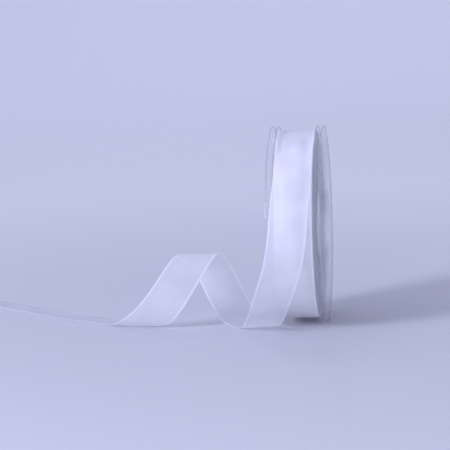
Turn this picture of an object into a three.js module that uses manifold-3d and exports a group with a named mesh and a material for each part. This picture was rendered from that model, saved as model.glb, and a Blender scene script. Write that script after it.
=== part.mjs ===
// A roll of sheer white one-inch ribbon on a clear plastic spool, with its loose end.
// The spool stands on its rims with its axis along X. The loose end leaves the front of the roll (-Y),
// turns under, stands up in one loop and runs off to the left (-X) along the surface.
// Millimetres, +Z up. The pieces are made with the middle of the spool over x = y = 0 and are then moved as
// one, so that the origin is on the surface, in the middle of the ground that the whole thing covers.

import * as THREE from "three";
import { mergeVertices } from "three/addons/utils/BufferGeometryUtils.js";
import Module from "manifold-3d";

// Ribbon
const ribbonWidth = 25.4;
const sheetThickness = 1;
const restingGap = 0.3;

// Spool, moulded in two halves that meet in the middle of the barrel
const flangeRadius = 68;
const discThickness = 1;
const discGroove = 3.1;
const rimBevel = 0.15;
const barrelRadius = 25;
const boreRadius = 22;
const filletSize = 1.2;
const flatSpotWidth = 8;

// Wound turns
const rollRadius = 64.4;
const rollCornerRound = 0.35;

const roundSteps = 96;
const stepsBetweenStations = 9;

// Heights above the surface. Each rim is planed to a flat of flatSpotWidth at the bottom.
const axisHeight = Math.sqrt(flangeRadius ** 2 - (flatSpotWidth / 2) ** 2);
const innerFace = ribbonWidth / 2 + restingGap;
const endFace = innerFace + 2 * discThickness + discGroove;
const turnRadius = rollRadius + restingGap + sheetThickness / 2;

const clearPlastic = new THREE.MeshStandardMaterial({
  color: 0xdfe3f2,
  roughness: 0.08,
  metalness: 0,
  transparent: true,
  opacity: 0.35,
});
const wovenRibbon = new THREE.MeshStandardMaterial({
  color: 0xe9ebf7,
  roughness: 0.55,
  metalness: 0,
  side: THREE.DoubleSide,
});

// The last turn lies on the roll from over the top, at these angles above the front.
const turnAngles = [104, 100, 92, 81, 70];

// Where the middle of the free ribbon passes. lean turns the line across the ribbon away from X, in degrees,
// with its left end towards the back where it is positive.
const freeStations = [
  { place: "leaves the roll", x: 0.0, y: -33.0, z: 124.6, lean: 0 },
  { place: "comes off", x: 0.0, y: -46.9, z: 116.2, lean: 0 },
  { place: "clears the rim", x: -0.3, y: -60.0, z: 104.0, lean: -1 },
  { place: "passes the rim", x: -1.6, y: -69.0, z: 90.5, lean: -4 },
  { place: "upper strand", x: -3.2, y: -74.5, z: 73.0, lean: -7 },
  { place: "front of the strand", x: -6.5, y: -75.5, z: 53.0, lean: -8 },
  { place: "strand leans left", x: -13.8, y: -66.5, z: 31.0, lean: -8 },
  { place: "strand nears the surface", x: -22.4, y: -46.5, z: 10.2, lean: -9 },
  { place: "first turn on the surface", x: -32.8, y: -19.0, z: 0.0, lean: -12 },
  { place: "back of the turn", x: -44.2, y: -2.0, z: 3.4, lean: -10 },
  { place: "rise", x: -56.6, y: 7.8, z: 22.4, lean: -5 },
  { place: "upper rise", x: -65.2, y: 1.5, z: 43.4, lean: -2 },
  { place: "crest", x: -70.6, y: -14.5, z: 50.6, lean: -3 },
  { place: "fall", x: -79.6, y: -27.5, z: 39.8, lean: -4 },
  { place: "middle of the fall", x: -91.5, y: -31.5, z: 22.3, lean: 0 },
  { place: "foot of the fall", x: -108.4, y: -24.5, z: 5.2, lean: 4 },
  { place: "second turn on the surface", x: -127.0, y: -6.5, z: 0.2, lean: 2 },
  { place: "tail", x: -150.0, y: 9.5, z: 0.2, lean: 0 },
  { place: "middle of the tail", x: -197.0, y: 45.0, z: 0.2, lean: -26 },
  { place: "cut end", x: -246.0, y: 83.0, z: 0.2, lean: -52 },
];

const radians = THREE.MathUtils.degToRad;

const wasm = await Module();
wasm.setup();

function solidFrom(geometry) {
  const bare = geometry.clone();
  bare.deleteAttribute("normal");
  bare.deleteAttribute("uv");
  const merged = mergeVertices(bare, 1e-4);
  return new wasm.Manifold(
    new wasm.Mesh({
      numProp: 3,
      vertProperties: new Float32Array(merged.attributes.position.array),
      triVerts: new Uint32Array(merged.index.array),
    }),
  );
}

function geometryFrom(solid) {
  const mesh = solid.getMesh();
  const geometry = new THREE.BufferGeometry();
  geometry.setAttribute("position", new THREE.BufferAttribute(mesh.vertProperties, 3));
  geometry.setIndex(new THREE.BufferAttribute(mesh.triVerts, 1));
  geometry.computeVertexNormals();
  return geometry;
}

// A closed outline of [radius, x] points turned about the spool's axis, which lies along X.
function turned(outline) {
  const profile = [...outline, outline[0]].map(([radius, x]) => new THREE.Vector2(radius, x));
  const geometry = new THREE.LatheGeometry(profile, roundSteps);
  geometry.rotateZ(-Math.PI / 2);
  geometry.rotateX(Math.PI / roundSteps);
  geometry.translate(0, 0, axisHeight);
  return geometry;
}

// Planes off whatever reaches below the surface, which leaves the rims their flat spots.
function planed(geometry) {
  const depth = 10;
  const below = new THREE.BoxGeometry(4 * endFace, 4 * flatSpotWidth, depth);
  below.translate(0, 0, -depth / 2);
  return geometryFrom(solidFrom(geometry).subtract(solidFrom(below)));
}

// The right half of the spool: a barrel half, the disc against the ribbon, and the outer disc with an
// open groove between the two.
function spoolHalf() {
  const innerDisc = innerFace + discThickness;
  const outerDisc = endFace - discThickness;
  const rim = flangeRadius - rimBevel;
  const outline = [
    [boreRadius, restingGap / 2],
    [barrelRadius, restingGap / 2],
    [barrelRadius, innerFace],
    [rim, innerFace],
    [flangeRadius, innerFace + rimBevel],
    [flangeRadius, innerDisc - rimBevel],
    [rim, innerDisc],
    [barrelRadius + filletSize, innerDisc],
    [barrelRadius, innerDisc + filletSize],
    [barrelRadius, outerDisc - filletSize],
    [barrelRadius + filletSize, outerDisc],
    [rim, outerDisc],
    [flangeRadius, outerDisc + rimBevel],
    [flangeRadius, endFace - rimBevel],
    [rim, endFace],
    [boreRadius + filletSize, endFace],
    [boreRadius, endFace - filletSize],
  ];
  return turned(outline);
}

function spoolEnd(name, side) {
  const geometry = spoolHalf();
  if (side < 0) geometry.rotateZ(Math.PI);
  const mesh = new THREE.Mesh(planed(geometry), clearPlastic);
  mesh.name = name;
  return mesh;
}

// The wound turns as one solid, with softly rounded shoulders.
function ribbonRoll() {
  const half = ribbonWidth / 2;
  const inner = barrelRadius + restingGap;
  const geometry = turned([
    [inner, -half],
    [rollRadius - rollCornerRound, -half],
    [rollRadius, rollCornerRound - half],
    [rollRadius, half - rollCornerRound],
    [rollRadius - rollCornerRound, half],
    [inner, half],
  ]);
  const mesh = new THREE.Mesh(geometry, wovenRibbon);
  mesh.name = "ribbon_roll";
  return mesh;
}

// A smooth curve through values at given distances: second derivatives of a natural cubic spline.
function splineBends(at, values) {
  const last = at.length - 1;
  const bend = new Array(last + 1).fill(0);
  const carry = new Array(last + 1).fill(0);
  for (let i = 1; i < last; i++) {
    const before = at[i] - at[i - 1];
    const after = at[i + 1] - at[i];
    const slopeChange = (values[i + 1] - values[i]) / after - (values[i] - values[i - 1]) / before;
    const pivot = 2 * (before + after) - before * carry[i - 1];
    carry[i] = after / pivot;
    bend[i] = (6 * slopeChange - before * bend[i - 1]) / pivot;
  }
  for (let i = last - 1; i > 0; i--) bend[i] -= carry[i] * bend[i + 1];
  return bend;
}

function splineAt(at, values, bend, i, fraction) {
  const length = at[i + 1] - at[i];
  const u = 1 - fraction;
  const curve = (u ** 3 - u) * bend[i] + (fraction ** 3 - fraction) * bend[i + 1];
  return u * values[i] + fraction * values[i + 1] + (curve * length * length) / 6;
}

// The middle of the ribbon and its lean, in short steps from the top of the roll to the cut end.
function ribbonPath() {
  const onTheRoll = turnAngles.map((angle) => ({
    x: 0,
    y: -turnRadius * Math.cos(radians(angle)),
    z: axisHeight + turnRadius * Math.sin(radians(angle)),
    lean: 0,
  }));
  const stations = [...onTheRoll, ...freeStations];
  const at = [0];
  for (let i = 1; i < stations.length; i++) {
    const [a, b] = [stations[i - 1], stations[i]];
    at.push(at[i - 1] + Math.hypot(b.x - a.x, b.y - a.y, b.z - a.z));
  }
  const columns = ["x", "y", "z", "lean"].map((key) => stations.map((row) => row[key]));
  const bends = columns.map((values) => splineBends(at, values));
  const path = [];
  for (let i = 0; i < stations.length - 1; i++) {
    const steps = i === stations.length - 2 ? stepsBetweenStations + 1 : stepsBetweenStations;
    for (let k = 0; k < steps; k++) {
      const [x, y, z, lean] = columns.map((values, c) =>
        splineAt(at, values, bends[c], i, k / stepsBetweenStations),
      );
      path.push({ middle: new THREE.Vector3(x, y, Math.max(z, sheetThickness / 2)), lean });
    }
  }
  return path;
}

// The loose end: a sheet whose lines across stay level. Each line is as long as the slanting way over
// the ribbon's width, so the ribbon keeps its width square to its own direction.
function ribbonLooseEnd() {
  const path = ribbonPath();
  const positions = [];
  const faces = [];
  path.forEach(({ middle, lean }, i) => {
    const ahead = path[Math.min(i + 1, path.length - 1)].middle;
    const behind = path[Math.max(i - 1, 0)].middle;
    const along = ahead.clone().sub(behind).normalize();
    const across = new THREE.Vector3(-Math.cos(radians(lean)), Math.sin(radians(lean)), 0);
    const slant = Math.sqrt(1 - along.dot(across) ** 2);
    const reach = across.clone().multiplyScalar(ribbonWidth / 2 / slant);
    const out = across.clone().cross(along).normalize().multiplyScalar(sheetThickness / 2);
    for (const [side, face] of [[1, 1], [-1, 1], [-1, -1], [1, -1]]) {
      const corner = middle.clone().addScaledVector(reach, side).addScaledVector(out, face);
      positions.push(corner.x, corner.y, corner.z);
    }
  });
  const quad = (a, b, c, d) => faces.push(a, b, c, a, c, d);
  for (let i = 0; i < path.length - 1; i++) {
    for (let k = 0; k < 4; k++) {
      const next = (k + 1) % 4;
      quad(4 * i + k, 4 * (i + 1) + k, 4 * (i + 1) + next, 4 * i + next);
    }
  }
  const end = 4 * (path.length - 1);
  quad(0, 1, 2, 3);
  quad(end + 3, end + 2, end + 1, end);
  const geometry = new THREE.BufferGeometry();
  geometry.setAttribute("position", new THREE.Float32BufferAttribute(positions, 3));
  geometry.setIndex(faces);
  geometry.computeVertexNormals();
  const mesh = new THREE.Mesh(geometry, wovenRibbon);
  mesh.name = "ribbon_loose_end";
  return mesh;
}

const pieces = new THREE.Group();
pieces.add(spoolEnd("spool_end_left", -1));
pieces.add(spoolEnd("spool_end_right", 1));
pieces.add(ribbonRoll());
pieces.add(ribbonLooseEnd());

const covered = new THREE.Box3().setFromObject(pieces).getCenter(new THREE.Vector3());
pieces.position.set(-covered.x, -covered.y, 0);

const ribbonOnSpool = new THREE.Group();
ribbonOnSpool.add(pieces);

export default ribbonOnSpool;
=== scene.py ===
import math

import bpy
import numpy as np
from mathutils import Matrix, Vector


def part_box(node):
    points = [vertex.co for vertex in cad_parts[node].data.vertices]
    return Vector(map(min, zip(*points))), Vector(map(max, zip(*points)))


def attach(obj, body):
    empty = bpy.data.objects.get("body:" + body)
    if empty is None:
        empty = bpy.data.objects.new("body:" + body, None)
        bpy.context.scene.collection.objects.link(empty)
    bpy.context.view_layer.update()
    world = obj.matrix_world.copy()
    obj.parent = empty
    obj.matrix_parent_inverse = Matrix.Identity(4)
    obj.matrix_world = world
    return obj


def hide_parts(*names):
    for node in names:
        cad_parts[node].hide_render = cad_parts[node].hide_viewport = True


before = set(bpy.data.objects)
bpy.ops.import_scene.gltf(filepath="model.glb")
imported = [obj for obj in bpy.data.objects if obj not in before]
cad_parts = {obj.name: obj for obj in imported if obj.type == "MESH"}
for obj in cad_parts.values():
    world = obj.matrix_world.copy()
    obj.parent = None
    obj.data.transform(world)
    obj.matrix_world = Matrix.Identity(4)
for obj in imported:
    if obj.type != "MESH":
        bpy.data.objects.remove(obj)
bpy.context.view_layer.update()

MM = 0.001

# Ribbon
RIBBON_WIDTH = 25.4 * MM
CLOTH_THICKNESS = 0.16 * MM
SELVAGE_THICKNESS = 0.26 * MM
SELVAGE_WIDTH = 1.5 * MM
THREAD_PITCH = 0.42 * MM
THREAD_RELIEF = 0.03 * MM
RIBBON_STEP = 1.4 * MM

# Wound turns
ROLL_RADIUS = 64.4 * MM
BARREL_GAP = 0.3 * MM
TURN_PITCH = 0.31 * MM
TURN_GROUP = 0.56 * MM
TURN_STEPS = 144

# Spool
FLANGE_RADIUS = 68 * MM
FLANGE_THICKNESS = 1.0 * MM
FLANGE_GROOVE = 3.1 * MM
RIM_ROUND = 0.32 * MM
BARREL_RADIUS = 25 * MM
BARREL_FILLET = 1.2 * MM
BORE_RADIUS = 22 * MM
BORE_RING = 0.5 * MM
SPOOL_STEPS = 192

# Looks
COOL_LIGHT = (0.78, 0.81, 1.0)
SELVAGE_WHITE = (0.98, 0.98, 1.0, 1)
SOFT_SHEEN = {"Sheen Weight": 0.3, "Sheen Roughness": 0.35}

# The frame's own sizes: the middle of the spool, and how far its outer and inner faces are from there
roll_low, roll_high = (Vector(corner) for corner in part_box("ribbon_roll"))
SPOOL_MIDDLE = (roll_low + roll_high) / 2
right_low, right_high = (Vector(corner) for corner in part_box("spool_end_right"))
END_FACE = right_high.x - SPOOL_MIDDLE.x
INNER_FACE = END_FACE - FLANGE_GROOVE - 2 * FLANGE_THICKNESS


# Camera and lights


def make_camera():
    """The photograph's view: a long lens, a little to the right of the front and a little above it."""
    azimuth, elevation, roll = (math.radians(angle) for angle in (7.075, 8.0, -2.169))
    distance = 1.2
    aim = Vector((SPOOL_MIDDLE.x - 52.7 * MM, SPOOL_MIDDLE.y, 68.3 * MM))
    back = Vector((
        math.sin(azimuth) * math.cos(elevation),
        -math.cos(azimuth) * math.cos(elevation),
        math.sin(elevation),
    ))
    level_right = (-back).cross(Vector((0, 0, 1))).normalized()
    level_up = level_right.cross(-back)
    right = level_right * math.cos(roll) + level_up * math.sin(roll)
    up = level_up * math.cos(roll) - level_right * math.sin(roll)
    data = bpy.data.cameras.new("camera")
    data.lens = 138.06
    data.sensor_width = 36
    data.clip_start = 0.05
    camera = bpy.data.objects.new("camera", data)
    turn = Matrix((right, up, back)).transposed().to_4x4()
    camera.matrix_world = Matrix.Translation(aim + back * distance) @ turn
    bpy.context.collection.objects.link(camera)
    bpy.context.scene.camera = camera


def make_light(name, place, aim, size, power, spread=180):
    """A soft box: an area light at place, facing aim, whose cloth lets a cone of spread degrees through."""
    data = bpy.data.lights.new(name, "AREA")
    data.shape = "RECTANGLE"
    data.size, data.size_y = size
    data.energy = power
    data.spread = math.radians(spread)
    data.color = COOL_LIGHT
    light = bpy.data.objects.new(name, data)
    facing = (Vector(aim) - Vector(place)).to_track_quat("-Z", "Y")
    light.matrix_world = Matrix.Translation(place) @ facing.to_matrix().to_4x4()
    bpy.context.collection.objects.link(light)


def light_scene():
    """A low key light on the left, a tall strip in front, a lamp for the far ground, and a pale room."""
    middle = (SPOOL_MIDDLE.x - 0.03, SPOOL_MIDDLE.y, 0.05)
    make_light("key_from_the_left", (-1.30, -1.27, 0.73), middle, (0.6, 0.6), 7.3, spread=80)
    make_light("front_strip", (-0.1, -2.1, 0.72), middle, (0.5, 1.2), 4)
    make_light("background_lamp", (-0.6, 1.5, 2.1), (-0.2, 2.4, 0.1), (1.4, 0.7), 10.5)
    room = Finish("studio", bpy.data.worlds.new("studio"))
    light = room.node("ShaderNodeBackground", {}, {"Color": (0.43, 0.446, 0.60, 1)})
    bpy.context.scene.world = room.show(light, "ShaderNodeOutputWorld")
    bpy.context.scene.view_settings.view_transform = "Standard"


# Shader maths


class Value:
    """A number or colour that varies over a surface. Its sums, products and powers add Math nodes."""

    def __init__(self, finish, socket):
        self.finish = finish
        self.socket = socket

    def math(self, operation, *others):
        inputs = dict(enumerate((self, *others)))
        return self.finish.node("ShaderNodeMath", {"operation": operation}, inputs)

    def __add__(self, other):
        return self.math("ADD", other)

    def __sub__(self, other):
        return self.math("SUBTRACT", other)

    def __rsub__(self, other):
        return self.finish.node("ShaderNodeMath", {"operation": "SUBTRACT"}, {0: other, 1: self})

    def __mul__(self, other):
        return self.math("MULTIPLY", other)

    def __pow__(self, other):
        return self.math("POWER", other)

    __radd__ = __add__
    __rmul__ = __mul__

    def wave(self, pitch):
        """Goes from 1 to 0 and back once in each pitch."""
        return (self * (2 * math.pi / pitch)).math("COSINE") * 0.5 + 0.5

    def step(self, start, end):
        """0 below start and 1 above end, with a smooth change between them."""
        settings = {"interpolation_type": "SMOOTHSTEP"}
        inputs = {"Value": self, "From Min": start, "From Max": end}
        return self.finish.node("ShaderNodeMapRange", settings, inputs)


class Finish:
    """A material and its nodes, or those of the room round the stage."""

    def __init__(self, name, owner=None):
        self.owner = owner or bpy.data.materials.new(name)
        self.owner.use_nodes = True
        self.tree = self.owner.node_tree
        self.tree.nodes.clear()

    def node(self, kind, settings=None, inputs=None, output=0):
        """Adds a node: its settings first, then the numbers, colours or links of its sockets."""
        made = self.tree.nodes.new(kind)
        for name, value in (settings or {}).items():
            setattr(made, name, value)
        for name, value in (inputs or {}).items():
            if isinstance(value, Value):
                self.tree.links.new(value.socket, made.inputs[name])
            else:
                made.inputs[name].default_value = value
        return Value(self, made.outputs[output])

    def place(self):
        """Where a point of the object is, in metres."""
        return self.node("ShaderNodeTexCoord", output=3)

    def vector_math(self, operation, *operands, output=0):
        inputs = dict(enumerate(operands))
        return self.node("ShaderNodeVectorMath", {"operation": operation}, inputs, output)

    def mix(self, share, colour, other):
        """colour where share is 0 and other where it is 1."""
        inputs = {0: share, 6: colour, 7: other}
        return self.node("ShaderNodeMix", {"data_type": "RGBA"}, inputs, output=2)

    def mix_shaders(self, share, surface, other):
        """surface where share is 0 and other where it is 1."""
        return self.node("ShaderNodeMixShader", {}, {0: share, 1: surface, 2: other})

    def noise(self, where, scale, detail=2):
        return self.node("ShaderNodeTexNoise", {}, {"Vector": where, "Scale": scale, "Detail": detail})

    def bump(self, height, distance, strength):
        inputs = {"Height": height, "Distance": distance, "Strength": strength}
        return self.node("ShaderNodeBump", {}, inputs)

    def show(self, surface, output="ShaderNodeOutputMaterial"):
        end = self.tree.nodes.new(output)
        self.tree.links.new(surface.socket, end.inputs["Surface"])
        return self.owner


# Finishes


def weave(finish):
    """How far a point of the cloth is from the nearer edge, in metres, with its threads and its slubs.

    Each woven piece carries a map of the way across and along the ribbon, in metres.
    """
    place = finish.node("ShaderNodeUVMap", {"uv_map": "cloth"})
    across = finish.node("ShaderNodeSeparateXYZ", {}, {0: place})
    along = Value(finish, across.socket.node.outputs[1])
    from_edge = RIBBON_WIDTH / 2 - across.math("ABSOLUTE")
    threads = across.wave(THREAD_PITCH) * along.wave(THREAD_PITCH)
    slubs = finish.noise(place, 60)
    return from_edge, threads, slubs


def ribbon_finish():
    """Sheer white weave, denser and brighter in the selvage along both edges, with a soft sheen."""
    finish = Finish("sheer_woven_ribbon")
    from_edge, threads, slubs = weave(finish)
    selvage = 1 - from_edge.step(0.3 * SELVAGE_WIDTH, 1.3 * SELVAGE_WIDTH)
    body = finish.mix(slubs.step(0.3, 0.7), (0.93, 0.93, 0.96, 1), (0.97, 0.97, 1.0, 1))
    colour = finish.mix(selvage, body, SELVAGE_WHITE)
    cover = threads * 0.08 + 0.25 + slubs * 0.06
    surface = finish.node("ShaderNodeBsdfPrincipled", {}, {
        "Base Color": colour,
        "Roughness": 0.5 - selvage * 0.1,
        "Alpha": cover + selvage * (0.52 - cover),
        "Specular IOR Level": 0.4,
        "Normal": finish.bump(threads, THREAD_RELIEF, 0.6),
        **SOFT_SHEEN,
    })
    through = finish.node("ShaderNodeBsdfTranslucent", {}, {"Color": colour})
    return finish.show(finish.mix_shaders(0.45, surface, through))


def spool_radius(finish):
    """How far a point is from the spool's axis."""
    from_middle = finish.vector_math("SUBTRACT", finish.place(), SPOOL_MIDDLE)
    flat = finish.vector_math("MULTIPLY", from_middle, (0, 1, 1))
    return finish.vector_math("LENGTH", flat, output=1)


def wound_finish():
    """The same cloth as a solid pack: its tread is one turn over many, its sides the edges of the turns."""
    finish = Finish("wound_ribbon")
    from_edge, threads, slubs = weave(finish)
    selvage = 1 - from_edge.step(0.6 * SELVAGE_WIDTH, 1.3 * SELVAGE_WIDTH)
    tread = finish.mix(slubs.step(0.3, 0.7), (0.80, 0.80, 0.83, 1), (0.85, 0.85, 0.88, 1))
    tread = finish.mix(selvage, tread, SELVAGE_WHITE)
    radius = spool_radius(finish)
    side = 1 - radius.step(ROLL_RADIUS - 0.3 * MM, ROLL_RADIUS - 0.1 * MM)
    turns = radius.wave(TURN_PITCH)
    rings = turns * 0.25 + finish.noise(radius, 420, 4).step(0.32, 0.68) * 0.75
    edges = finish.mix(rings, (0.66, 0.66, 0.72, 1), (0.97, 0.97, 1.0, 1))
    relief = threads + side * (turns - threads)
    surface = finish.node("ShaderNodeBsdfPrincipled", {}, {
        "Base Color": finish.mix(side, tread, edges),
        "Roughness": 0.55 - slubs * 0.1,
        "Specular IOR Level": 0.35,
        "Normal": finish.bump(relief, THREAD_RELIEF, 0.5),
        **SOFT_SHEEN,
    })
    return finish.show(surface)


def spool_finish():
    """Clear polished plastic, nearly unseen face on, and hazy and bright at a slant.

    The rims are painted dark grey, a painted shade for the dark look of clear rims seen edge-on, and the hub
    is painted pale and more solid, a painted highlight for the thick barrel.
    """
    finish = Finish("clear_spool_plastic")
    edge_on = finish.node("ShaderNodeLayerWeight", {}, {"Blend": 0.5}, output=1) ** 5
    scuffs = finish.noise(finish.place(), 55, 4)
    radius = spool_radius(finish)
    rim = radius.step(FLANGE_RADIUS - 1.1 * MM, FLANGE_RADIUS - 0.5 * MM)
    hub = 1 - radius.step(BARREL_RADIUS + 1.5 * MM, BARREL_RADIUS + 2.5 * MM)
    haze = finish.mix(scuffs, (0.72, 0.73, 0.80, 1), (0.78, 0.79, 0.86, 1))
    # Painted highlight: the hub is painted pale and more solid, in place of the highlights on the thick
    # barrel.
    within_rim = finish.mix(hub, haze, (0.97, 0.97, 1.0, 1))
    # Painted shade: the rim is painted dark grey, in place of the dark look a clear rim has edge-on.
    colour = finish.mix(rim, within_rim, (0.42, 0.42, 0.50, 1))
    plastic = finish.node("ShaderNodeBsdfPrincipled", {}, {
        "Base Color": colour,
        "Roughness": scuffs.step(0.35, 0.8) * 0.12 + 0.08,
        "Specular IOR Level": 0.5,
        "IOR": 1.55,
    })
    through = finish.node("ShaderNodeBsdfTranslucent", {}, {"Color": colour})
    glow = finish.mix_shaders(0.4, plastic, through)
    clear = finish.node("ShaderNodeBsdfTransparent")
    cover = edge_on * 0.24 + 0.04 + rim * 0.32 + hub * 0.45
    body = finish.mix_shaders(cover, clear, glow)
    mirror = finish.node("ShaderNodeBsdfGlossy", {}, {"Color": (0.95, 0.95, 1.0, 1), "Roughness": 0.16})
    mirror_share = edge_on * 0.12 + 0.03 + rim * 0.06
    return finish.show(finish.mix_shaders(mirror_share, body, mirror))


def floor_finish():
    """Pale matt board, painted paler away from the middle: painted light for the brighter far ground."""
    finish = Finish("pale_table")
    place = finish.place()
    from_middle = finish.vector_math("LENGTH", place, output=1)
    # Painted light: the board is painted darker near the middle and paler far off, in place of light that is
    # brighter on the far ground.
    colour = finish.mix(from_middle.step(0.0, 0.85), (0.60, 0.615, 0.665, 1), (0.83, 0.845, 0.89, 1))
    surface = finish.node("ShaderNodeBsdfPrincipled", {}, {
        "Base Color": colour,
        "Roughness": finish.noise(place, 9).step(0.2, 0.8) * 0.05 + 0.45,
        "Specular IOR Level": 0.1,
    })
    return finish.show(surface)


# Meshes


def add_mesh(name, points, faces, material, cloth=None):
    """A smooth shaded object. cloth is each point's way across and along the ribbon, in metres."""
    mesh = bpy.data.meshes.new(name)
    mesh.from_pydata([tuple(p) for p in points], [], [tuple(int(i) for i in f) for f in faces])
    mesh.materials.append(material)
    mesh.polygons.foreach_set("use_smooth", [True] * len(mesh.polygons))
    if cloth is not None:
        layer = mesh.uv_layers.new(name="cloth")
        corners = np.empty(len(mesh.loops), int)
        mesh.loops.foreach_get("vertex_index", corners)
        layer.data.foreach_set("uv", np.asarray(cloth, float)[corners].ravel())
    mesh.update()
    made = bpy.data.objects.new(name, mesh)
    bpy.context.collection.objects.link(made)
    return made


def grid_faces(rows, columns, rows_meet=False, columns_meet=False):
    """The quads of a grid of points that is numbered row by row."""
    i, j = np.meshgrid(
        np.arange(rows if rows_meet else rows - 1),
        np.arange(columns if columns_meet else columns - 1),
        indexing="ij",
    )
    after, beside = (i + 1) % rows, (j + 1) % columns
    quads = (i * columns + j, after * columns + j, after * columns + beside, i * columns + beside)
    return np.stack(quads, axis=-1).reshape(-1, 4)


def turned_piece(name, outline, steps, material, wobble=None):
    """A closed outline of (radius, x) turned about the spool's axis, and flat where it meets the surface.

    wobble gives how far each point moves along the axis at each angle.
    """
    outline = np.asarray(outline, float)
    angle = 2 * np.pi * (np.arange(steps) + 0.5) / steps
    radius = np.broadcast_to(outline[:, 0], (steps, len(outline)))
    x = np.broadcast_to(outline[:, 1], radius.shape)
    if wobble is not None:
        x = x + wobble(angle)
    points = np.stack([
        SPOOL_MIDDLE.x + x,
        SPOOL_MIDDLE.y - radius * np.cos(angle)[:, None],
        np.maximum(SPOOL_MIDDLE.z + radius * np.sin(angle)[:, None], 0),
    ], axis=-1)
    cloth = np.stack([x, radius * angle[:, None]], axis=-1)
    faces = grid_faces(steps, len(outline), rows_meet=True, columns_meet=True)
    return add_mesh(name, points.reshape(-1, 3), faces, material, cloth.reshape(-1, 2))


# The spool


def rim_round(face, other):
    """Over a flange's rounded rim, from one face of the flange to the other."""
    quarter = [(math.sin(turn), 1 - math.cos(turn)) for turn in np.linspace(0, math.pi / 2, 4)]
    inside = FLANGE_RADIUS - RIM_ROUND
    up = [(inside + RIM_ROUND * rise, face + RIM_ROUND * run) for rise, run in quarter]
    down = [(inside + RIM_ROUND * rise, other - RIM_ROUND * run) for rise, run in reversed(quarter)]
    return up + down


def half_spool_outline():
    """The section of one half of the spool: barrel, two flanges and the raised ring round the bore."""
    inner_back = INNER_FACE + FLANGE_THICKNESS
    outer_front = END_FACE - FLANGE_THICKNESS
    split = right_low.x - SPOOL_MIDDLE.x
    fillet_middle = 0.3 * BARREL_FILLET
    ring_foot = BORE_RADIUS + 4.6 * MM
    ring_top = BORE_RADIUS + 4.2 * MM
    ring_inside = BORE_RADIUS + 0.4 * MM
    return [
        (BORE_RADIUS, split),
        (BARREL_RADIUS, split),
        (BARREL_RADIUS, INNER_FACE),
        *rim_round(INNER_FACE, inner_back),
        (BARREL_RADIUS + BARREL_FILLET, inner_back),
        (BARREL_RADIUS + fillet_middle, inner_back + fillet_middle),
        (BARREL_RADIUS, inner_back + BARREL_FILLET),
        (BARREL_RADIUS, outer_front - BARREL_FILLET),
        (BARREL_RADIUS + fillet_middle, outer_front - fillet_middle),
        (BARREL_RADIUS + BARREL_FILLET, outer_front),
        *rim_round(outer_front, END_FACE),
        (ring_foot, END_FACE),
        (ring_top, END_FACE + BORE_RING),
        (ring_inside, END_FACE + BORE_RING),
        (BORE_RADIUS, END_FACE + 0.1 * MM),
    ]


def build_spool(material):
    halves = (
        {"side": -1, "name": "clear_spool_left", "node": "spool_end_left"},
        {"side": 1, "name": "clear_spool_right", "node": "spool_end_right"},
    )
    for half in halves:
        outline = [(radius, half["side"] * x) for radius, x in half_spool_outline()]
        if half["side"] < 0:
            outline.reverse()
        piece = turned_piece(half["name"], outline, SPOOL_STEPS, material)
        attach(piece, "root")
        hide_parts(half["node"])


# The wound turns


def wound_section(dice):
    """The section of the pack, in points of (radius, x, sway), where sway is 1 on the edges of the turns."""
    half = RIBBON_WIDTH / 2
    turn_end = half - 0.05 * MM
    groove_floor = half - 0.55 * MM
    inner = BARREL_RADIUS + BARREL_GAP
    groups = int(round((ROLL_RADIUS - inner) / TURN_GROUP))
    pitch = (ROLL_RADIUS - inner) / groups
    drift = np.cumsum(dice.normal(0, 0.05, groups)) * MM
    drift -= np.linspace(drift[0], drift[-1], groups)
    jitter = dice.normal(0, 0.06, groups) * MM
    furthest = 0.22 * MM
    shift = np.clip(drift + jitter, -furthest, furthest)
    # The tread, from its left edge to its middle: shares of half the width, and the rise in millimetres
    left_crown = [(-0.985, 0.10), (-0.93, 0.16), (-0.86, 0.06), (-0.6, 0.0)]
    crown = [*left_crown, (0.0, -0.05), *((-share, rise) for share, rise in reversed(left_crown))]
    section = []
    for side, order in ((-1, range(groups)), (1, reversed(range(groups)))):
        for k in order:
            low = inner + k * pitch
            edge = side * turn_end + shift[k]
            groove = side * groove_floor
            three = [(low, groove, 0), (low + 0.3 * pitch, edge, 1), (low + 0.7 * pitch, edge, 1)]
            section += three if side < 0 else reversed(three)
        if side < 0:
            section += [(ROLL_RADIUS + rise * MM, share * half, 0) for share, rise in crown]
    return np.array(section, float)


def build_wound_turns(material):
    """The pack: every few turns end a little in or out of line with the next, as hand-tight ribbon winds."""
    dice = np.random.default_rng(21)
    section = wound_section(dice)
    outline, sway = section[:, :2], section[:, 2]
    phases = dice.uniform(0, 2 * np.pi, len(sway))

    def wobble(angle):
        turn = angle[:, None]
        return 0.05 * MM * sway * (np.sin(3 * turn + phases) + np.sin(7 * turn + 2 * phases))

    piece = turned_piece("wound_turns", outline, TURN_STEPS, material, wobble)
    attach(piece, "root")
    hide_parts("ribbon_roll")


# The loose end

# It comes up out of the wound turns behind the top of the roll and then lies on them, at these angles.
# They are in degrees from the front of the roll. At the sunk angle and behind, it lies among the turns.
SINKING_ANGLES = (150, 138, 126, 114)
TURN_ANGLES = (104, 100, 92, 81, 70)
SUNK_ANGLE = 144

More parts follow.
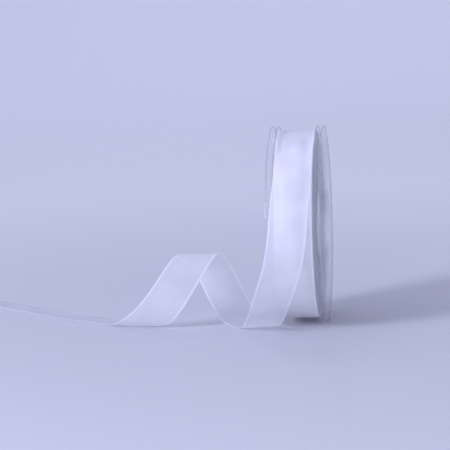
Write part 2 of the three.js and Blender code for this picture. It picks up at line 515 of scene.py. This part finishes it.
# Where the middle of the free ribbon passes, in millimetres, with the middle of the spool over x = y = 0.
# lean turns the line across the ribbon away from X, in degrees.
FREE_STATIONS = (
    {"place": "leaves the roll", "x": 0.0, "y": -33.0, "z": 124.6, "lean": 0},
    {"place": "comes off", "x": 0.0, "y": -46.9, "z": 116.2, "lean": 0},
    {"place": "clears the rim", "x": -0.3, "y": -60.0, "z": 104.0, "lean": -1},
    {"place": "passes the rim", "x": -1.6, "y": -69.0, "z": 90.5, "lean": -4},
    {"place": "upper strand", "x": -3.2, "y": -74.5, "z": 73.0, "lean": -7},
    {"place": "front of the strand", "x": -6.5, "y": -75.5, "z": 53.0, "lean": -8},
    {"place": "strand leans left", "x": -13.8, "y": -66.5, "z": 31.0, "lean": -8},
    {"place": "strand nears the surface", "x": -22.4, "y": -46.5, "z": 10.2, "lean": -9},
    {"place": "first turn on the surface", "x": -32.8, "y": -19.0, "z": 0.0, "lean": -12},
    {"place": "back of the turn", "x": -44.2, "y": -2.0, "z": 3.4, "lean": -10},
    {"place": "rise", "x": -56.6, "y": 7.8, "z": 22.4, "lean": -5},
    {"place": "upper rise", "x": -65.2, "y": 1.5, "z": 43.4, "lean": -2},
    {"place": "crest", "x": -70.6, "y": -14.5, "z": 50.6, "lean": -3},
    {"place": "fall", "x": -79.6, "y": -27.5, "z": 39.8, "lean": -4},
    {"place": "middle of the fall", "x": -91.5, "y": -31.5, "z": 22.3, "lean": 0},
    {"place": "foot of the fall", "x": -108.4, "y": -24.5, "z": 5.2, "lean": 4},
    {"place": "second turn on the surface", "x": -127.0, "y": -6.5, "z": 0.2, "lean": 2},
    {"place": "tail", "x": -150.0, "y": 9.5, "z": 0.2, "lean": 0},
    {"place": "middle of the tail", "x": -197.0, "y": 45.0, "z": 0.2, "lean": -26},
    {"place": "cut end", "x": -246.0, "y": 83.0, "z": 0.2, "lean": -52},
)


def smooth_share(values, start, end):
    """0 before start and 1 after end, with a smooth change between them."""
    share = np.clip((values - start) / (end - start), 0, 1)
    return share * share * (3 - 2 * share)


def between(values, start, full, fading, end):
    """Grows from 0 at start to 1 at full, and sinks back to 0 from fading to end."""
    return smooth_share(values, start, full) * (1 - smooth_share(values, fading, end))


def ridge(values, middle, width):
    return np.exp(-((values - middle) / width) ** 2)


def smooth_curve(at, values, where):
    """A natural cubic spline through values at the distances at, read at the distances where."""
    gaps = np.diff(at)
    slopes = np.diff(values) / gaps
    count = len(at)
    system = np.eye(count)
    wanted = np.zeros(count)
    for i in range(1, count - 1):
        system[i, i - 1:i + 2] = gaps[i - 1], 2 * (gaps[i - 1] + gaps[i]), gaps[i]
        wanted[i] = 6 * (slopes[i] - slopes[i - 1])
    bends = np.linalg.solve(system, wanted)
    i = np.clip(np.searchsorted(at, where, side="right") - 1, 0, count - 2)
    share = (where - at[i]) / gaps[i]
    rest = 1 - share
    curve = (rest ** 3 - rest) * bends[i] + (share ** 3 - share) * bends[i + 1]
    return rest * values[i] + share * values[i + 1] + curve * gaps[i] ** 2 / 6


def way_along(points):
    """How far each point is along the line through all of them."""
    return np.concatenate([[0], np.cumsum(np.linalg.norm(np.diff(points, axis=0), axis=1))])


def unit(vectors):
    return vectors / np.linalg.norm(vectors, axis=1)[:, None]


def ribbon_path():
    """The middle of the loose ribbon and its lean, in short steps from the wound turns to the cut end."""
    on_top = ROLL_RADIUS + 0.8 * MM
    sunk = ROLL_RADIUS - 0.30 * MM
    stations = []
    for angle in (*SINKING_ANGLES, *TURN_ANGLES):
        radius = on_top + (sunk - on_top) * smooth_share(angle, TURN_ANGLES[0], SUNK_ANGLE)
        up = math.radians(angle)
        stations.append((0, -radius * math.cos(up), SPOOL_MIDDLE.z + radius * math.sin(up), 0))
    for row in FREE_STATIONS:
        stations.append((row["x"] * MM, row["y"] * MM, row["z"] * MM, math.radians(row["lean"])))
    stations = np.array(stations)
    at = way_along(stations[:, :3])
    where = np.linspace(0, at[-1], int(at[-1] / RIBBON_STEP))
    x, y, z, lean = (smooth_curve(at, column, where) for column in stations.T)
    # Where the curve would dip into the surface, it softly turns to lie on it
    lowest = CLOTH_THICKNESS / 2 + 0.05 * MM
    soft = 0.5 * MM
    above = z - soft
    z = lowest + (above + np.sqrt(above ** 2 + soft ** 2)) / 2
    middle = np.stack([x + SPOOL_MIDDLE.x, y + SPOOL_MIDDLE.y, z], axis=-1)
    return middle, lean


def ribbon_section():
    """Places across the ribbon, as shares of half its width, and half the thickness at each place."""
    edge = 1 - SELVAGE_WIDTH / (RIBBON_WIDTH / 2)
    slope = 0.03
    shares = np.array([-1, -0.985, -0.94, -edge, -edge + slope, *np.arange(-0.80, 0, 0.08)])
    shares = np.concatenate([shares, -shares[::-1]])
    in_selvage = np.clip((np.abs(shares) - edge) / slope, 0, 1)
    half_thick = (CLOTH_THICKNESS + (SELVAGE_THICKNESS - CLOTH_THICKNESS) * in_selvage) / 2
    half_thick[[0, -1]] *= 0.5
    return shares, half_thick


def cloth_relief(shares, travelled):
    """How far the cloth stands out of its even line: a long soft fold down the strand, and faint ripples."""
    # s goes from -1 to 1 across the ribbon, and t is the way along it in millimetres
    s, t = shares[None, :], travelled[:, None] / MM
    fold = 0.45 * ridge(s, -0.22, 0.28) - 0.38 * ridge(s, -0.68, 0.16)
    bulge = 0.38 * ridge(s, 0.32, 0.30)
    turned_edge = 0.40 * smooth_share(-s, 0.72, 1.0)
    ripple = 0.10 * np.sin(t / 23 + 2.0 * s) * np.sin(t / 61 + 1.0) * (1 - s ** 2)
    return MM * (
        fold * between(t, 12, 40, 82, 108)
        + bulge * between(t, 55, 85, 105, 140)
        + turned_edge * between(t, 8, 40, 120, 170)
        + ripple * smooth_share(t, 90, 140)
    )


def tail_lift(shares, to_go):
    """How far one edge of the tail stands off the surface. to_go is the way from each row to the cut end."""
    lift = 1.4 * MM * between(to_go[:, None] / MM, -20, 25, 130, 195)
    return lift * smooth_share(shares, -0.2, 1.0)[None, :] ** 2


def build_loose_ribbon(material):
    """A thin closed sheet along the path. Each row of points goes over the cloth and back under it."""
    middle, lean = ribbon_path()
    travelled = way_along(middle)
    along = unit(np.gradient(middle, axis=0))
    across = np.stack([-np.cos(lean), np.sin(lean), np.zeros_like(lean)], axis=-1)
    slant = np.sqrt(1 - np.sum(along * across, axis=1) ** 2)
    reach = across / slant[:, None] * RIBBON_WIDTH / 2
    out = unit(np.cross(across, along))
    shares, half_thick = ribbon_section()
    over_the_top = ROLL_RADIUS * math.radians(SINKING_ANGLES[0] - 90)
    relief = cloth_relief(shares, travelled - over_the_top)
    sheet = middle[:, None] + reach[:, None] * shares[None, :, None] + out[:, None] * relief[..., None]
    sheet[..., 2] += tail_lift(shares, travelled[-1] - travelled)
    layers = []
    for face, order in ((1, slice(None)), (-1, slice(None, None, -1))):
        layers.append(sheet[:, order] + out[:, None] * face * half_thick[order][None, :, None])
    points = np.concatenate(layers, axis=1)
    points[..., 2] = np.maximum(points[..., 2], 0.02 * MM)
    widths = np.concatenate([shares, shares[::-1]]) * RIBBON_WIDTH / 2
    cloth = np.stack(np.broadcast_arrays(widths[None], travelled[:, None]), axis=-1)
    rows, ring = points.shape[:2]
    faces = [tuple(face) for face in grid_faces(rows, ring, columns_meet=True)]
    faces.append(tuple(range(ring - 1, -1, -1)))
    faces.append(tuple(range((rows - 1) * ring, rows * ring)))
    piece = add_mesh("loose_ribbon", points.reshape(-1, 3), faces, material, cloth.reshape(-1, 2))
    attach(piece, "root")
    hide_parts("ribbon_loose_end")


# The stage


def build_stage(material):
    """A pale table that sweeps up all round, far outside the camera. Every view has the same ground."""
    flat, sweep, height = 1.7, 0.9, 1.1
    outline = [(0.3, 0), (0.8, 0), (flat, 0)]
    for turn in np.linspace(0, math.pi / 2, 16)[1:]:
        outline.append((flat + sweep * math.sin(turn), sweep * (1 - math.cos(turn))))
    outline.append((flat + sweep, height))
    steps = 96
    angle = 2 * np.pi * np.arange(steps) / steps
    points = [(r * math.cos(a), r * math.sin(a), z) for r, z in outline for a in angle]
    faces = [tuple(face) for face in grid_faces(len(outline), steps, columns_meet=True)]
    faces.append(tuple(range(steps)))
    floor = add_mesh("table", points, faces, material)


make_camera()
light_scene()
build_stage(floor_finish())
build_spool(spool_finish())
build_wound_turns(wound_finish())
build_loose_ribbon(ribbon_finish())
